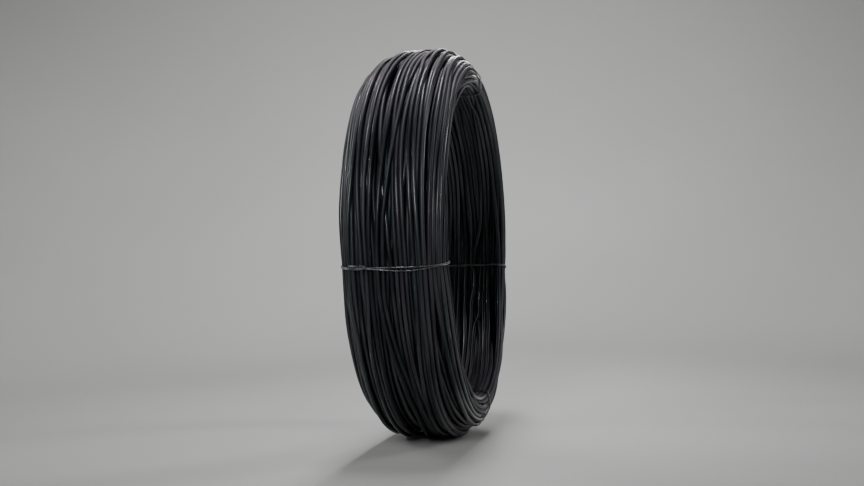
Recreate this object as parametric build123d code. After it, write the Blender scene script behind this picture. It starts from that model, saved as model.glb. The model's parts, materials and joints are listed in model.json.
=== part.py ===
from build123d import *

import os

# A coil of spring steel wire standing on its rim. One long round wire is wound
# into a loose ring of turns, and four thin tie wires hold the ring together.
# The ring is one turned solid with its eye open. The turns that show on its ends
# and round its outer face lie in small bunches, and each bunch is a ridge. The eye
# is smooth, as the drum was that the wire was wound on. Each tie is a closed loop
# round the bundle of turns, with its two ends twisted into a short tail that is
# bent down on the outer edge.
# Millimetres. +X runs along the coil's axis, +Z is up, and the origin is on the
# floor under the middle of the coil.

# The wound ring: its outer edges are well rounded, and its inner ones less so
eye_diameter = 830.0
build_up = 110.0
coil_width = 272.0
outer_edge_radius = 74.0
inner_edge_radius = 22.0

# The bunches of turns as they show: ridges this far apart, with furrows this deep
bunch_pitch = 30.0
furrow_depth = 6.0

# The tie wires, and how far they draw the turns in
tie_diameter = 3.0
tie_clearance = 0.3
tie_draw = 7.0
tie_seat_width = 22.0
tail_length = 45.0
tail_diameter = 5.4
tail_taper = 1.6
tail_start = 12.0

# Where each tie crosses the bundle, in degrees round the coil's axis from +Y
front_tie_angle = 186.0
bottom_tie_angle = 280.0
back_tie_angle = 350.0
top_tie_angle = 76.0

eye_radius = eye_diameter / 2
rim_radius = eye_radius + build_up
half_width = coil_width / 2
tie_offset = tie_clearance + tie_diameter / 2 - tie_draw
tail_offset = tie_clearance + tail_diameter / 2 - tie_draw


def bundle_outline(grow):
    """The wound bundle's outline in the plane of the axis and one radius, moved
    outwards by grow: the run along the eye, and then the other runs and the rounded
    edges in order round it."""
    inner, outer = inner_edge_radius + grow, outer_edge_radius + grow
    side, bottom, top = half_width + grow, eye_radius - grow, rim_radius + grow
    return [
        Line((-side + inner, bottom), (side - inner, bottom)),
        RadiusArc((side - inner, bottom), (side, bottom + inner), -inner),
        Line((side, bottom + inner), (side, top - outer)),
        RadiusArc((side, top - outer), (side - outer, top), -outer),
        Line((side - outer, top), (-side + outer, top)),
        RadiusArc((-side + outer, top), (-side, top - outer), -outer),
        Line((-side, top - outer), (-side, bottom + inner)),
        RadiusArc((-side, bottom + inner), (-side + inner, bottom), -inner),
    ]


def turned_section():
    """The section that is turned. The eye is one straight run, and the rest of the
    outline rises to a ridge at each bunch and falls to a furrow between two."""
    eye, *round_the_turns = bundle_outline(0)
    shown = Wire(round_the_turns)
    bunches = round(shown.length / bunch_pitch)
    points = [eye @ 0, eye @ 1]
    for bunch in range(bunches):
        points.append(shown @ ((bunch + 0.5) / bunches))
        if bunch < bunches - 1:
            furrow = (bunch + 1) / bunches
            along = shown % furrow
            inwards = Vector(-along.Y, along.X)
            points.append(shown @ furrow + inwards * furrow_depth)
    return make_face(Polyline(*points, close=True))


def at_angle(shape, angle):
    """Turns a shape from the +Y side of the coil's axis to its place round it, and
    lifts it to the height of the axis."""
    return Pos(0, 0, rim_radius) * Rot(angle, 0, 0) * shape


def tie_seat(angle):
    """The channel round the bundle where a tie draws the turns in."""
    spare = tie_draw
    around = Pos(0, eye_radius + build_up / 2) * Rectangle(
        coil_width + 2 * spare, build_up + 2 * spare
    )
    drawn_in = make_face(Wire(bundle_outline(-tie_draw)))
    return at_angle(extrude(around - drawn_in, tie_seat_width / 2, both=True), angle)


def tie(angle):
    """One tie wire: a loop on the bottom of its channel, and the twisted tail, which
    lies beside the loop on the outer edge and is pinched to a blunt tip."""
    loop = Wire(bundle_outline(tie_offset))
    section = RegularPolygon(tie_diameter / 2, 6)
    ring = sweep(Plane(origin=loop @ 0, z_dir=loop % 0) * section, path=loop)
    *_, outer_edge, _, _ = bundle_outline(tail_offset)
    start, end = tail_start, tail_start + tail_length
    lying = outer_edge.trim(start / outer_edge.length, end / outer_edge.length)
    across = Plane(origin=lying @ 0, z_dir=lying % 0) * RegularPolygon(tail_diameter / 2, 6)
    tail = sweep(across, path=lying)
    tip = tail.faces().sort_by_distance(lying @ 1)[0]
    tail = chamfer(tip.edges(), tail_taper)
    return at_angle(ring + Pos(0, 0, -tail_diameter / 2) * tail, angle)


def main():
    ties = {
        "tie_wire_front": front_tie_angle,
        "tie_wire_bottom": bottom_tie_angle,
        "tie_wire_back": back_tie_angle,
        "tie_wire_top": top_tie_angle,
    }
    coil = at_angle(revolve(turned_section(), Axis.X), 0)
    for angle in ties.values():
        coil -= tie_seat(angle)
    os.makedirs("parts", exist_ok=True)
    export_step(coil, "parts/wire_coil.step")
    for name, angle in ties.items():
        export_step(tie(angle), f"parts/{name}.step")


main()
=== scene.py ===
import json
import math

import bpy
import numpy as np
from mathutils import Matrix, Vector


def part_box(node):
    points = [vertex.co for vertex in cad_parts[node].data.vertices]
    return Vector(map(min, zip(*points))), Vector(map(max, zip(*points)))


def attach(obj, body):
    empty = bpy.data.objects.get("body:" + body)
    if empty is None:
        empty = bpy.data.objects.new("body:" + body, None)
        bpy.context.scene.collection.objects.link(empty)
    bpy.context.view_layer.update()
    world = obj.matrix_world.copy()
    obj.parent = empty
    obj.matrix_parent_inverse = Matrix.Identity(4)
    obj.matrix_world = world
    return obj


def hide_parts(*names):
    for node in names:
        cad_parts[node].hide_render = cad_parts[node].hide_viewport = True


# A coil of spring steel wire on its rim: one long wire in loose turns, held by four
# tie wires. Metres. A place on the ring is given as x along the axis, the radius from
# the axis, and the angle round it from +Y towards +Z.

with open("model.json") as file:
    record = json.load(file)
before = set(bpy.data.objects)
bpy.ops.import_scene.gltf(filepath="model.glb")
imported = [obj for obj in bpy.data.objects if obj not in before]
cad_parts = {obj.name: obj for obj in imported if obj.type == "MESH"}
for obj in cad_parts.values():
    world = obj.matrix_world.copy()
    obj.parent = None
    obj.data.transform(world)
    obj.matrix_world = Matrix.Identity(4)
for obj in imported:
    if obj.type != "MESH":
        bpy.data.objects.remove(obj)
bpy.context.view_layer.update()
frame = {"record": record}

# The ring, from the frame, and how its section's edges are rounded
ring_low, ring_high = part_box("wire_coil")
half_width = (ring_high.x - ring_low.x) / 2
axis_height = (ring_high.z + ring_low.z) / 2
rim_radius = (ring_high.z - ring_low.z) / 2
eye_radius = frame["record"]["mounts"][0]["dims"]["r_mm"] / 1000
build_up = rim_radius - eye_radius
middle_radius = eye_radius + build_up / 2
outer_edge_radius = 0.074
inner_edge_radius = 0.022

# The wire: what share of the section it fills, what share of the places under the rim
# stays empty, and how far outside the outline a place may start, in spacings
wire_diameter = 0.011
wire_radius = wire_diameter / 2
wire_share = 0.66
gap_share = 0.34
start_proud = 0.25

# How far the turns sway, and how often in each turn: in bunches, each by itself, and
# where one strays over others. Some sag below the rim.
bunch_turns = 3
bunch_sway = 0.011
bunch_knots = 7
own_sway = 0.0060
own_knots = 7
stray_sway = 0.022
stray_knots = 3
stray_sway_knots = 5
rise_sway = 0.0025
rise_knots = 5
rim_sag = 0.0070
rim_sag_knots = 4

# How much the wire's tone changes, in bunches and by itself, and how often in each turn
# its hue does
bunch_tone = 0.8
own_tone = 0.6
hue_knots = 2

# The wire's stations: the first is at its inner end, and its outer end lies a little
# past the same angle
stations = 160
step_angle = 2 * math.pi / stations
first_end_angle = math.radians(343)
end_overlap = math.radians(17)
pieces_of_wire = 5
wire_sides = 10

# How the turns settle: how much of an overlap each round undoes, and how much it evens
# out along the wire, which is less in the last rounds. The least gap keeps a turn's
# distance from itself above 0.
settle_rounds = 100
late_rounds = 25
least_gap = 1e-9
push_share = 0.4
early_evening = 0.6
late_evening = 0.2

# Where the outer turns have slipped and the left shoulder is lower
slump_depth = 0.015
slump_angle = math.radians(112)
slump_reach = math.radians(38)
slump_from_x = -0.035
slump_to_x = -0.100

# Where the turns are pressed on the floor
floor_angle = math.radians(270)
borne_reach = math.radians(14)

# The ties: how far they draw the turns in, and how finely their line is worked out
tie_radius = 0.0015
tie_draw = 0.007
tie_reach = 0.060 / rim_radius
tie_sides = 8
tie_spacing = 0.0015
tie_directions = 1440
tie_easing_rounds = 6

# The ties' second wrap, the twist of their two ends, and where each tie is
second_wrap_beside = 0.003
second_wrap_bow = 0.006
twist_length = 0.045
twist_pitch = 0.012
twist_start_x = -0.055
twist_beside = 0.0048
twist_points = 90
tie_angles = {
    "tie_wire_front": math.radians(186),
    "tie_wire_bottom": math.radians(280),
    "tie_wire_back": math.radians(350),
    "tie_wire_top": math.radians(76),
}

# Colours
blue_black_oxide = (0.013, 0.0175, 0.021)
grey_oxide = (0.052, 0.058, 0.064)
purple_oxide = (0.042, 0.033, 0.050)
green_oxide = (0.016, 0.028, 0.029)
# Dust on what faces up: its pale lilac is partly real dust and partly a painted sheen of the
# overhead light
lilac_dust_and_sheen = (0.275, 0.19, 0.26)
rubbed_steel = (0.30, 0.30, 0.32)
bright_zinc = (0.25, 0.26, 0.27)
dull_zinc = (0.09, 0.09, 0.10)
darker_concrete = (0.40, 0.40, 0.395)
lighter_concrete = (0.46, 0.455, 0.45)
room_air = (0.62, 0.64, 0.67)

rng = np.random.default_rng(24)


# Curves and noise

def eased(share):
    """A rise from 0 to 1 that is level at both ends: three squares less two cubes."""
    return share * share * (3 - 2 * share)


def bell(angle, middle, reach):
    """A bell curve round the coil: 1 at the middle angle and 0.37 a reach away."""
    away = (angle - middle + math.pi) % (2 * math.pi) - math.pi
    return np.exp(-((away / reach) ** 2))


def smooth_noise(count, knots, amount):
    """Noise along count steps: random heights at evenly spaced knots, joined by a
    curve that is level at each knot."""
    heights = rng.normal(0, amount, knots + 1)
    at = np.linspace(0, knots, count, endpoint=False)
    low = at.astype(int)
    share = eased(at - low)
    return heights[low] * (1 - share) + heights[low + 1] * share


def bunched_noise(turns, amount):
    """Noise that turns wound together share: heights on a grid of angles round the
    coil and turns, joined smoothly both ways, and closed from one turn to the next."""
    heights = rng.normal(0, amount, (turns // bunch_turns + 3, bunch_knots))
    so_far = np.arange(turns * stations) / stations
    row, column = so_far / bunch_turns, (so_far % 1) * bunch_knots
    row_low, column_low = row.astype(int), column.astype(int)
    column_high = (column_low + 1) % bunch_knots
    up, over = eased(row - row_low), eased(column - column_low)

    def in_row(chosen):
        return heights[chosen, column_low] * (1 - over) + heights[chosen, column_high] * over

    return in_row(row_low) * (1 - up) + in_row(row_low + 1) * up


# Placing the turns

def outside_of(x, radius, inset):
    """How far each point of the section lies outside the bundle's outline moved
    inwards by inset, and the direction in which it does. The outline is a rectangle
    with rounded corners: the distance is that from the rectangle through the corners'
    centres, less the corner's radius, which differs at the rim and at the eye."""
    outer = radius > middle_radius
    corner = np.where(outer, outer_edge_radius, inner_edge_radius)
    over_x = np.abs(x) - (half_width - corner)
    over_r = np.where(outer, radius - (rim_radius - corner), eye_radius + corner - radius)
    gap_x, gap_r = np.maximum(over_x, 0), np.maximum(over_r, 0)
    length = np.hypot(gap_x, gap_r)
    beyond = length > 0
    safe = np.where(beyond, length, 1)
    away_x = np.where(beyond, gap_x / safe, over_x > over_r) * np.sign(x)
    away_r = np.where(beyond, gap_r / safe, over_x <= over_r) * np.where(outer, 1, -1)
    outside = np.where(beyond, length, np.maximum(over_x, over_r)) - corner + inset
    return outside, away_x, away_r


def first_places():
    """The turns' places in the section as they are wound: layers from the eye to the
    rim, each laid across the width the other way from the last. The spacing is that
    of close-packed rounds, stretched until they fill the wanted share. Some places
    under the rim are left out, so that gaps show between the outer turns."""
    spacing = wire_diameter * math.sqrt(math.pi / (2 * math.sqrt(3) * wire_share))
    layer_step = spacing * math.sqrt(3) / 2
    layers = round((build_up - wire_diameter) / layer_step) + 1
    places = []
    for layer in range(layers):
        radius = eye_radius + wire_radius + (build_up - wire_diameter) * layer / (layers - 1)
        across = np.arange(-half_width, half_width, spacing) + spacing / 2 * (layer % 2)
        outside, _, _ = outside_of(across, np.full_like(across, radius), wire_radius)
        under_rim = (outside > -layer_step) & (radius > middle_radius)
        left_out = under_rim & (rng.random(len(across)) < gap_share)
        across = across[(outside < spacing * start_proud) & ~left_out]
        if layer % 2:
            across = across[::-1]
        places += [(x, radius) for x in across]
    return np.array(places)


def station_angles():
    """The angle round the coil of each station of a turn."""
    return first_end_angle + np.arange(stations) * step_angle


def wound_path():
    """The wire's first path, one row for each turn and one value for each station: from
    a turn's place to the next one's over a full circle, with the sways added. Gives x,
    the radius, and how far below the rim's outline the wire keeps: about half of what
    lies under the rim does so, but no stray, and nothing that the floor bears."""
    places = first_places()
    turns = len(places) - 1
    count = turns * stations
    ease = eased(np.linspace(0, 1, stations, endpoint=False))[None, :, None]
    path = places[:-1, None] * (1 - ease) + places[1:, None] * ease
    stray = np.clip(np.abs(smooth_noise(count, turns * stray_knots, 1.0)) - 1.0, 0, 1)
    sway = bunched_noise(turns, bunch_sway) + smooth_noise(count, turns * own_knots, own_sway)
    sway += smooth_noise(count, turns * stray_sway_knots, stray_sway) * stray
    rise = smooth_noise(count, turns * rise_knots, rise_sway) + stray * wire_radius
    below = bunched_noise(turns, rim_sag) + smooth_noise(count, turns * rim_sag_knots, rim_sag)
    below = np.maximum(below, 0) * (1 - stray)
    shape = (turns, stations)
    below = below.reshape(shape) * (1 - bell(station_angles(), floor_angle, borne_reach))
    return path[..., 0] + sway.reshape(shape), path[..., 1] + rise.reshape(shape), below


def tie_pinch(angle):
    """How far the turns are drawn in at each angle: the ties' depth at a tie, falling
    off as a bell curve to either side."""
    at_ties = [bell(angle, tie_angle, tie_reach) for tie_angle in tie_angles.values()]
    return tie_draw * np.max(at_ties, axis=0)


def slump(x, angle):
    """How far the outer turns lie lower than the outline: a bell curve round the coil,
    that rises across the width towards the left shoulder."""
    share = np.clip((x - slump_from_x) / (slump_to_x - slump_from_x), 0, 1)
    return slump_depth * bell(angle, slump_angle, slump_reach) * eased(share)


def evened(moved, start, evening):
    """The turns with their change from the start evened out along the wire: each value
    goes by a share of the way to the middle of its two neighbours."""
    change = (moved - start).reshape(-1)
    bend = np.zeros_like(change)
    bend[1:-1] = (change[:-2] + change[2:]) / 2 - change[1:-1]
    return moved + (bend * evening).reshape(moved.shape)


def settle(first_x, first_r, below):
    """Moves the turns apart where two lie in each other, at every station at once, and
    keeps them inside the bundle's outline. What is moved is evened out along the wire,
    as stiff wire does, so the sways of the first path stay."""
    angle = station_angles()
    inset = wire_radius + tie_pinch(angle)
    start_x, start_r = first_x.astype(np.float32), first_r.astype(np.float32)
    x, r = start_x.copy(), start_r.copy()
    for step in range(settle_rounds):
        dx = x[:, None] - x[None]
        dr = r[:, None] - r[None]
        gap = np.sqrt(dx * dx + dr * dr) + least_gap
        push = np.maximum(wire_diameter - gap, 0) / gap * push_share
        x += (dx * push).sum(1)
        r += (dr * push).sum(1)
        evening = early_evening if step < settle_rounds - late_rounds else late_evening
        x, r = evened(x, start_x, evening), evened(r, start_r, evening)
        lower = (slump(x, angle) + below) * (r > middle_radius)
        outside, away_x, away_r = outside_of(x, r, inset + lower)
        outside = np.maximum(outside, 0)
        x -= outside * away_x
        r -= outside * away_r
    return x.astype(float), r.astype(float)


# Making meshes

def points_of(x, y, z):
    """Points from their three coordinates, each an array or a number."""
    return np.stack(np.broadcast_arrays(x, y, z), axis=-1)


def to_space(x, radius, angle):
    """Points in space from x, the radius and the angle round the coil's axis."""
    return points_of(x, radius * np.cos(angle), axis_height + radius * np.sin(angle))


def unit(vectors):
    """The same vectors with a length of 1."""
    return vectors / np.linalg.norm(vectors, axis=-1, keepdims=True)


def distance_along(line):
    """How far along a line of points each of them is."""
    step = np.linalg.norm(np.diff(line, axis=0), axis=1)
    return np.concatenate([[0.0], np.cumsum(step)])


def read_along(line, so_far, at):
    """The places on a line at the distances at along it, where so_far says how far along
    its own points are."""
    return np.stack([np.interp(at, so_far, values) for values in line.T], axis=-1)


def rounded_off(line):
    """A line of points with its sharp bends eased: each point becomes the mean of
    itself and its two neighbours, a few times over. The two ends stay."""
    line = line.copy()
    for _ in range(tie_easing_rounds):
        line[1:-1] = (line[:-2] + 2 * line[1:-1] + line[2:]) / 4
    return line


def faces_between_rings(rings, around):
    """The faces between rings of points that follow each other, with around points in
    each ring: every point, the next one in its ring, and the two after them."""
    here = np.arange(rings - 1)[:, None] * around + np.arange(around)
    after = np.roll(here, -1, axis=1)
    return np.stack([here, after, after + around, here + around], axis=-1).reshape(-1, 4)


def tube(line, radius, around):
    """Points and faces of a closed tube along a line of points: at each point a ring
    of around corners at the radius, in the plane square to the line, whose first
    corner is turned away from the coil's axis or towards its end, and a flat face on
    each end. Gives also each corner's place on the wire as if it were straight: how
    far along it, and where across it."""
    along = unit(np.gradient(line, axis=0))
    out = unit(line - np.array([0, 0, axis_height]))
    out = unit(out - (out * along).sum(1, keepdims=True) * along)
    aside = np.cross(along, out)
    turn = np.arange(around) * 2 * math.pi / around
    ring = np.cos(turn)[:, None] * out[:, None] + np.sin(turn)[:, None] * aside[:, None]
    points = (line[:, None] + ring * radius).reshape(-1, 3)
    last = (len(line) - 1) * around
    caps = [list(range(around - 1, -1, -1)), list(range(last, last + around))]
    faces = faces_between_rings(len(line), around).tolist() + caps
    straight = points_of(
        distance_along(line)[:, None], radius * np.cos(turn), radius * np.sin(turn)
    ).reshape(-1, 3)
    return points, faces, straight


def smooth_object(name, points, faces):
    """A smooth-shaded mesh object of whole arrays of points and faces."""
    mesh = bpy.data.meshes.new(name)
    mesh.from_pydata(points.tolist(), [], faces)
    mesh.polygons.foreach_set("use_smooth", np.ones(len(mesh.polygons), bool))
    made = bpy.data.objects.new(name, mesh)
    bpy.context.scene.collection.objects.link(made)
    return made


def round_wire(name, line, radius, around, started=0.0, **numbers):
    """A round wire along a line, as a piece that rides on the coil's body. Its points
    carry their place on the straight wire, with the length that has gone before, and
    the numbers that are given for each point of the line."""
    points, faces, straight = tube(line, radius, around)
    straight[:, 0] += started
    piece = smooth_object(name, points, faces)
    attributes = piece.data.attributes
    for key, values in numbers.items():
        layer = attributes.new(key, "FLOAT", "POINT")
        layer.data.foreach_set("value", np.repeat(values, around))
    layer = attributes.new("straight", "FLOAT_VECTOR", "POINT")
    layer.data.foreach_set("vector", straight.ravel())
    piece.data.update()
    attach(piece, "root")
    return piece


def make_wire(x, r):
    """The whole wire as a few pieces that follow each other. Its outer end stops just
    past the tie that holds it. Its tone changes slowly from turn to turn, and its hue
    along it."""
    turns = len(x)
    length = (turns - 1) * stations + round(end_overlap / step_angle)
    x, r = x.reshape(-1)[:length], r.reshape(-1)[:length]
    line = to_space(x, r, first_end_angle + np.arange(length) * step_angle)
    tone = bunched_noise(turns, bunch_tone)[:length] + smooth_noise(length, turns, own_tone)
    hue = smooth_noise(length, turns * hue_knots, 1.0)
    cuts = np.linspace(0, length - 1, pieces_of_wire + 1).round().astype(int)
    made = []
    for index, (start, end) in enumerate(zip(cuts[:-1], cuts[1:])):
        part = slice(start, end + 1)
        started = start * step_angle * rim_radius
        piece = round_wire(f"wire_turns_{index + 1}", line[part], wire_radius, wire_sides,
                           started, tone=tone[part], hue=hue[part])
        made.append(piece)
    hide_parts("wire_coil")
    return made


# The ties

def drawn_round(x, r):
    """The closed line that a tight tie takes round the turns of one section, as evenly
    spaced points that start over the rim and go towards +x. In each direction it
    touches the disc that reaches furthest that way, and it is straight between two
    such discs."""
    turn = np.linspace(0, 2 * math.pi, tie_directions, endpoint=False)
    way = np.stack([np.sin(turn), np.cos(turn)], axis=-1)
    centres = np.stack([x, r], axis=-1)
    furthest = np.argmax(centres @ way.T, axis=0)
    corners = centres[furthest] + way * (wire_radius + tie_radius)
    corners = np.concatenate([corners, corners[:1]])
    so_far = distance_along(corners)
    return read_along(corners, so_far, np.arange(0, so_far[-1], tie_spacing))


def two_wraps(loop, angle):
    """The tie's two wraps along the loop. The second lies beside the first, and from the
    twist to the ring's right end it bows down as the square of half a sine wave."""
    place = np.arange(len(loop)) / len(loop)
    rim_share = (half_width - twist_start_x) / (len(loop) * tie_spacing)
    bow = second_wrap_bow * np.sin(math.pi * np.minimum(place / rim_share, 1)) ** 2
    x, radius = loop.T
    beside = (second_wrap_beside + bow) / radius
    return to_space(x, radius, angle), to_space(x, radius, angle + beside)


def twisted_ends(loop, angle):
    """The two strands of the twist, each from its start to its tip: two helices half a
    turn apart, about a line that runs back beside the loop. Out of the bundle is
    square to that line and away from the middle of the eye's side."""
    core = loop[-round(twist_length / tie_spacing):][::-1]
    core = read_along(core, np.linspace(0, 1, len(core)), np.linspace(0, 1, twist_points))
    along = unit(np.gradient(core, axis=0))
    out = np.stack([along[:, 1], -along[:, 0]], axis=-1)
    out *= np.sign((out * (core - [0, eye_radius])).sum(1, keepdims=True))
    turn = np.linspace(0, twist_length / twist_pitch * 2 * math.pi, twist_points)
    strands = []
    for phase in (0, math.pi):
        up = tie_radius * (1 + np.cos(turn + phase))
        beside = twist_beside - tie_radius * np.sin(turn + phase)
        x, radius = (core + out * up[:, None]).T
        strands.append(to_space(x, radius, angle - beside / radius))
    return strands


def tie_line(x, r, angle):
    """One tie's line: from the tip of the twist, as one of its two strands, to where
    the twist starts on the left of the rim, twice round the bundle, and back along the
    twist as its other strand."""
    station = round((angle - first_end_angle) / step_angle)
    near = np.arange(station - 1, station + 2) % stations
    loop = drawn_round(x[:, near].ravel(), r[:, near].ravel())
    over_rim = loop[:, 1] > rim_radius - outer_edge_radius
    start = np.argmin(np.where(over_rim, np.abs(loop[:, 0] - twist_start_x), 1))
    loop = np.roll(loop, -start, axis=0)
    first_strand, last_strand = twisted_ends(loop, angle)
    line = np.concatenate([first_strand[::-1], *two_wraps(loop, angle), last_strand])
    return rounded_off(line)


def make_ties(x, r):
    """The four ties, each in the place of its solid."""
    made = []
    for name, angle in tie_angles.items():
        shown_name = name.replace("tie_wire", "twisted_tie")
        piece = round_wire(shown_name, tie_line(x, r, angle), tie_radius, tie_sides)
        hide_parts(name)
        made.append(piece)
    return made


# Finishes

class Signal:
    """A number, colour or vector that varies over a surface: one output of a node.
    Python's operators on numbers add Math nodes to the same material."""

    def __init__(self, tree, socket=None):
        self.tree = tree
        self.socket = socket

    def node(self, kind, settings, inputs, output=0):
        """Adds a node: its settings first, then the values or links of its sockets."""
        made = self.tree.nodes.new("ShaderNode" + kind)
        for key, value in settings.items():
            setattr(made, key, value)
        for key, value in inputs.items():
            if isinstance(value, Signal):
                self.tree.links.new(value.socket, made.inputs[key])
            else:
                made.inputs[key].default_value = value
        return Signal(self.tree, made.outputs[output])

    def math(self, operation, *values):
        return self.node("Math", {"operation": operation}, dict(enumerate(values)))

    def __add__(self, other):
        return self.math("ADD", self, other)

    def __sub__(self, other):
        return self.math("SUBTRACT", self, other)

    def __rsub__(self, other):
        return self.math("SUBTRACT", other, self)

    def __mul__(self, other):
        return self.math("MULTIPLY", self, other)

    __radd__ = __add__
    __rmul__ = __mul__

    def rising(self, low, high):
        """0 below low, 1 above high, and a smooth rise between."""
        return self.node("MapRange", {"interpolation_type": "SMOOTHSTEP"},
                         {"Value": self, "From Min": low, "From Max": high})


def new_finish(name):
    """A material, the signal that its nodes start from, and its shader."""
    material = bpy.data.materials.new(name)
    material.use_nodes = True
    tree = material.node_tree
    return material, Signal(tree), tree.nodes["Principled BSDF"]


def fed(shader, **signals):
    """Links signals to the shader's sockets, which are named with _ for a space."""
    for name, signal in signals.items():
        signal.tree.links.new(signal.socket, shader.inputs[name.replace("_", " ")])


def carried(paint, name, output):
    """What a piece's points carry under a name."""
    return paint.node("Attribute", {"attribute_name": name}, {}, output)


def noise(paint, place, stretch, detail):
    """Cloudy noise round a half. Stretch gives how many clouds there are to a metre
    in each direction."""
    place = paint.node("Mapping", {}, {"Vector": place, "Scale": stretch})
    return paint.node("TexNoise", {}, {"Vector": place, "Scale": 1.0, "Detail": detail})


def blended(paint, share, first, second):
    """The first colour where share is 0, and the second where it is 1."""
    def full(colour):
        return colour if isinstance(colour, Signal) else (*colour, 1)

    inputs = {0: share, 6: full(first), 7: full(second)}
    return paint.node("Mix", {"data_type": "RGBA", "clamp_factor": True}, inputs, 2)


def spring_wire_finish():
    """Drawn and oil-tempered steel: a blue-black oxide that goes to grey, purple and
    green along the wire, fine lines from the die, an oil film in patches, dust on what
    faces up, made lighter and lilac as a painted sheen of the overhead light, and
    bright marks where turns have rubbed."""
    material, paint, shader = new_finish("oil_tempered_steel")
    straight = carried(paint, "straight", "Vector")
    tone = carried(paint, "tone", "Fac")
    hue = carried(paint, "hue", "Fac")
    normal = paint.node("NewGeometry", {}, {}, "Normal")
    upwards = paint.node("SeparateXYZ", {}, {"Vector": normal}, "Z")

    patches = noise(paint, straight, (7, 60, 60), 3.0)
    die_lines = noise(paint, straight, (25, 1400, 1400), 2.0)
    specks = noise(paint, straight, (180, 650, 650), 2.0).rising(0.55, 0.68)
    oil = noise(paint, straight, (3, 30, 30), 2.0).rising(0.45, 0.62)
    rubbed = noise(paint, straight, (18, 350, 350), 3.0).rising(0.70, 0.76)
    # The mask for what faces up: real dust, and also a painted sheen of the light from
    # overhead on the coil's top
    dust_and_sheen = upwards.rising(0.45, 1.0) * patches.rising(0.20, 0.70)

    greyed = (patches + tone * 0.12 + (die_lines - 0.5) * 0.5).rising(0.35, 0.75)
    colour = blended(paint, greyed, blue_black_oxide, grey_oxide)
    colour = blended(paint, hue.rising(0.3, 2.0) * 0.6, colour, purple_oxide)
    colour = blended(paint, (0 - hue).rising(0.3, 2.0) * 0.6, colour, green_oxide)
    # Lilac dust on what faces up, which also paints the top's sheen of the overhead light
    colour = blended(paint, dust_and_sheen * (0.30 + specks * 0.36), colour, lilac_dust_and_sheen)
    colour = blended(paint, rubbed * 0.6, colour, rubbed_steel)

    height = die_lines * 0.5 + patches * 0.5
    bump = paint.node("Bump", {}, {"Strength": 0.25, "Distance": 0.0004, "Height": height})
    fed(shader, Base_Color=colour, Roughness=0.42 + patches * 0.14 + dust_and_sheen * 0.30 - oil * 0.06,
        Metallic=0.55 - dust_and_sheen * 0.40, Coat_Weight=oil * (1 - dust_and_sheen) * 0.6, Normal=bump)
    shader.inputs["Coat Roughness"].default_value = 0.10
    shader.inputs["Specular IOR Level"].default_value = 0.42
    return material


def tie_wire_finish():
    """Soft tie wire with a thin bright zinc skin, dulled grey in patches."""
    material, paint, shader = new_finish("zinc_tie_wire")
    straight = carried(paint, "straight", "Vector")
    dulled = noise(paint, straight, (45, 300, 300), 3.0).rising(0.40, 0.68)
    fine = noise(paint, straight, (60, 1500, 1500), 2.0)
    bump = paint.node("Bump", {}, {"Strength": 0.2, "Distance": 0.0003, "Height": fine})
    fed(shader, Base_Color=blended(paint, dulled, bright_zinc, dull_zinc),
        Roughness=0.34 + dulled * 0.3 + fine * 0.08, Normal=bump)
    shader.inputs["Metallic"].default_value = 1.0
    return material


def floor_finish():
    """Pale sealed concrete, with faint clouds."""
    material, paint, shader = new_finish("pale_floor")
    place = paint.node("TexCoord", {}, {}, "Object")
    clouds = noise(paint, place, (0.9, 0.9, 0.9), 5.0)
    fed(shader, Base_Color=blended(paint, clouds, darker_concrete, lighter_concrete),
        Roughness=0.65 + clouds * 0.2)
    return material


# Stage, light and camera

def make_floor():
    """A round floor that curves up into a wall: a profile of a flat run, a quarter of a
    circle and a straight rise, turned about the middle."""
    hub, flat, bend, height = 0.01, 3.2, 3.8, 7.0
    around = 96
    turn = np.linspace(0, math.pi / 2, 16)
    radius = np.concatenate([[hub], flat + bend * np.sin(turn), [flat + bend]])[:, None]
    z = np.concatenate([[0.0], bend - bend * np.cos(turn), [height]])[:, None]
    angle = np.arange(around) * 2 * math.pi / around
    points = points_of(radius * np.cos(angle), radius * np.sin(angle), z).reshape(-1, 3)
    facing_in = faces_between_rings(len(radius), around)[:, ::-1]
    floor = smooth_object("floor", points, facing_in.tolist() + [list(range(around))])
    floor.data.materials.append(floor_finish())


def soft_light(name, place, aim, size, watts, spread):
    """A rectangular light at a place, aimed at another, that spreads by some degrees."""
    light = bpy.data.lights.new(name, "AREA")
    light.shape = "RECTANGLE"
    light.size, light.size_y = size
    light.energy = watts
    light.spread = math.radians(spread)
    holder = bpy.data.objects.new(name, light)
    holder.location = place
    holder.rotation_euler = (Vector(aim) - Vector(place)).to_track_quat("-Z", "Y").to_euler()
    bpy.context.scene.collection.objects.link(holder)


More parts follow.
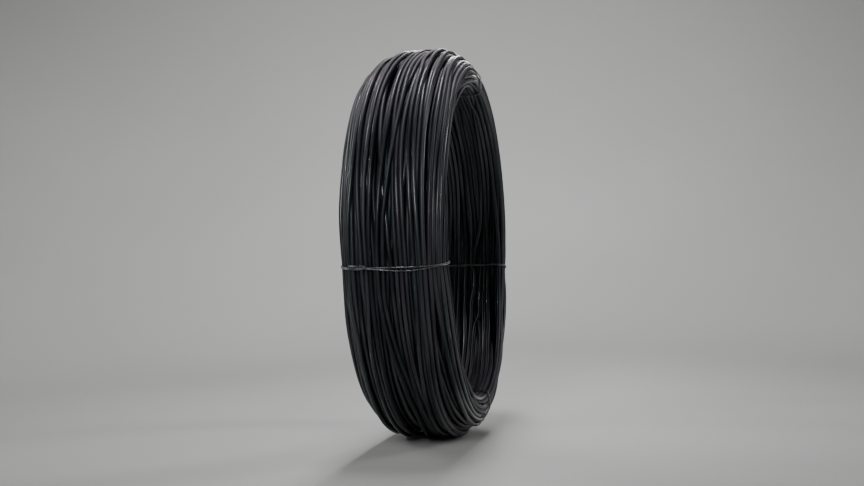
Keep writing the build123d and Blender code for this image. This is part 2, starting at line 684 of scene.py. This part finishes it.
def light_coil():
    """Soft light from overhead, weaker soft lights from four sides, and a small lamp on
    the left for glints. The front light is so narrow that the front of the ring shades
    the eye."""
    middle = (0, 0, axis_height)
    soft_light("overhead", (-0.08, 0.55, 3.9), middle, size=(0.5, 1.6), watts=34, spread=120)
    for name, y in (("front", -4.0), ("back", 4.0)):
        soft_light(name, (-0.12, y, 2.6), middle, size=(0.6, 2.0), watts=8, spread=50)
    for name, x, watts in (("right", 3.8, 6), ("left", -3.8, 4)):
        soft_light(name, (x, 1.5, 2.6), middle, size=(1.0, 1.5), watts=watts, spread=50)
    soft_light("lamp", (-3.6, -0.3, 2.5), middle, size=(0.15, 0.15), watts=1.8, spread=60)


def light_stage():
    """Washes that light the stage's bend and wall and not the coil, each placed by its
    degrees round from +Y towards +X, and a faint light from all round."""
    washes = {"back": (350, 120), "right": (70, 50), "front": (180, 20), "left": (280, 50)}
    for side, (degrees, watts) in washes.items():
        turn = math.radians(degrees)
        way = Vector((math.sin(turn), math.cos(turn), 0))
        place = way * 2.2 + Vector((0, 0, 5.2))
        aim = way * 5.4 + Vector((0, 0, 0.4))
        soft_light(side + "_wash", place, aim, size=(1.6, 0.6), watts=watts, spread=105)
    world = bpy.data.worlds.new("room")
    bpy.context.scene.world = world
    world.use_nodes = True
    background = world.node_tree.nodes["Background"]
    background.inputs["Color"].default_value = (*room_air, 1)
    background.inputs["Strength"].default_value = 0.02


def make_camera():
    """The photograph sees the coil from its own height, a little round to the right of
    square on to its rim, from three and a half times its diameter away, and leans. The
    coil's diameter takes its share of the picture's height."""
    azimuth, lean = math.radians(11.8), math.radians(2.0)
    distance, coil_share = 3.7, 0.79
    picture_wide, picture_high = 864, 486
    camera = bpy.data.cameras.new("camera")
    focal_pixels = coil_share * picture_high * distance / (2 * rim_radius)
    camera.lens = camera.sensor_width * focal_pixels / picture_wide
    back = Vector((math.sin(azimuth), -math.cos(azimuth), 0))
    aim = (-back).to_track_quat("-Z", "Y").to_matrix()
    holder = bpy.data.objects.new("camera", camera)
    holder.location = Vector((0, 0, axis_height)) + back * distance
    holder.rotation_euler = (aim @ Matrix.Rotation(-lean, 3, "Z")).to_euler()
    bpy.context.scene.collection.objects.link(holder)
    bpy.context.scene.camera = holder


turns_x, turns_r = settle(*wound_path())
wire_finish = spring_wire_finish()
for piece in make_wire(turns_x, turns_r):
    piece.data.materials.append(wire_finish)
tie_finish = tie_wire_finish()
for piece in make_ties(turns_x, turns_r):
    piece.data.materials.append(tie_finish)
make_floor()
light_coil()
light_stage()
make_camera()
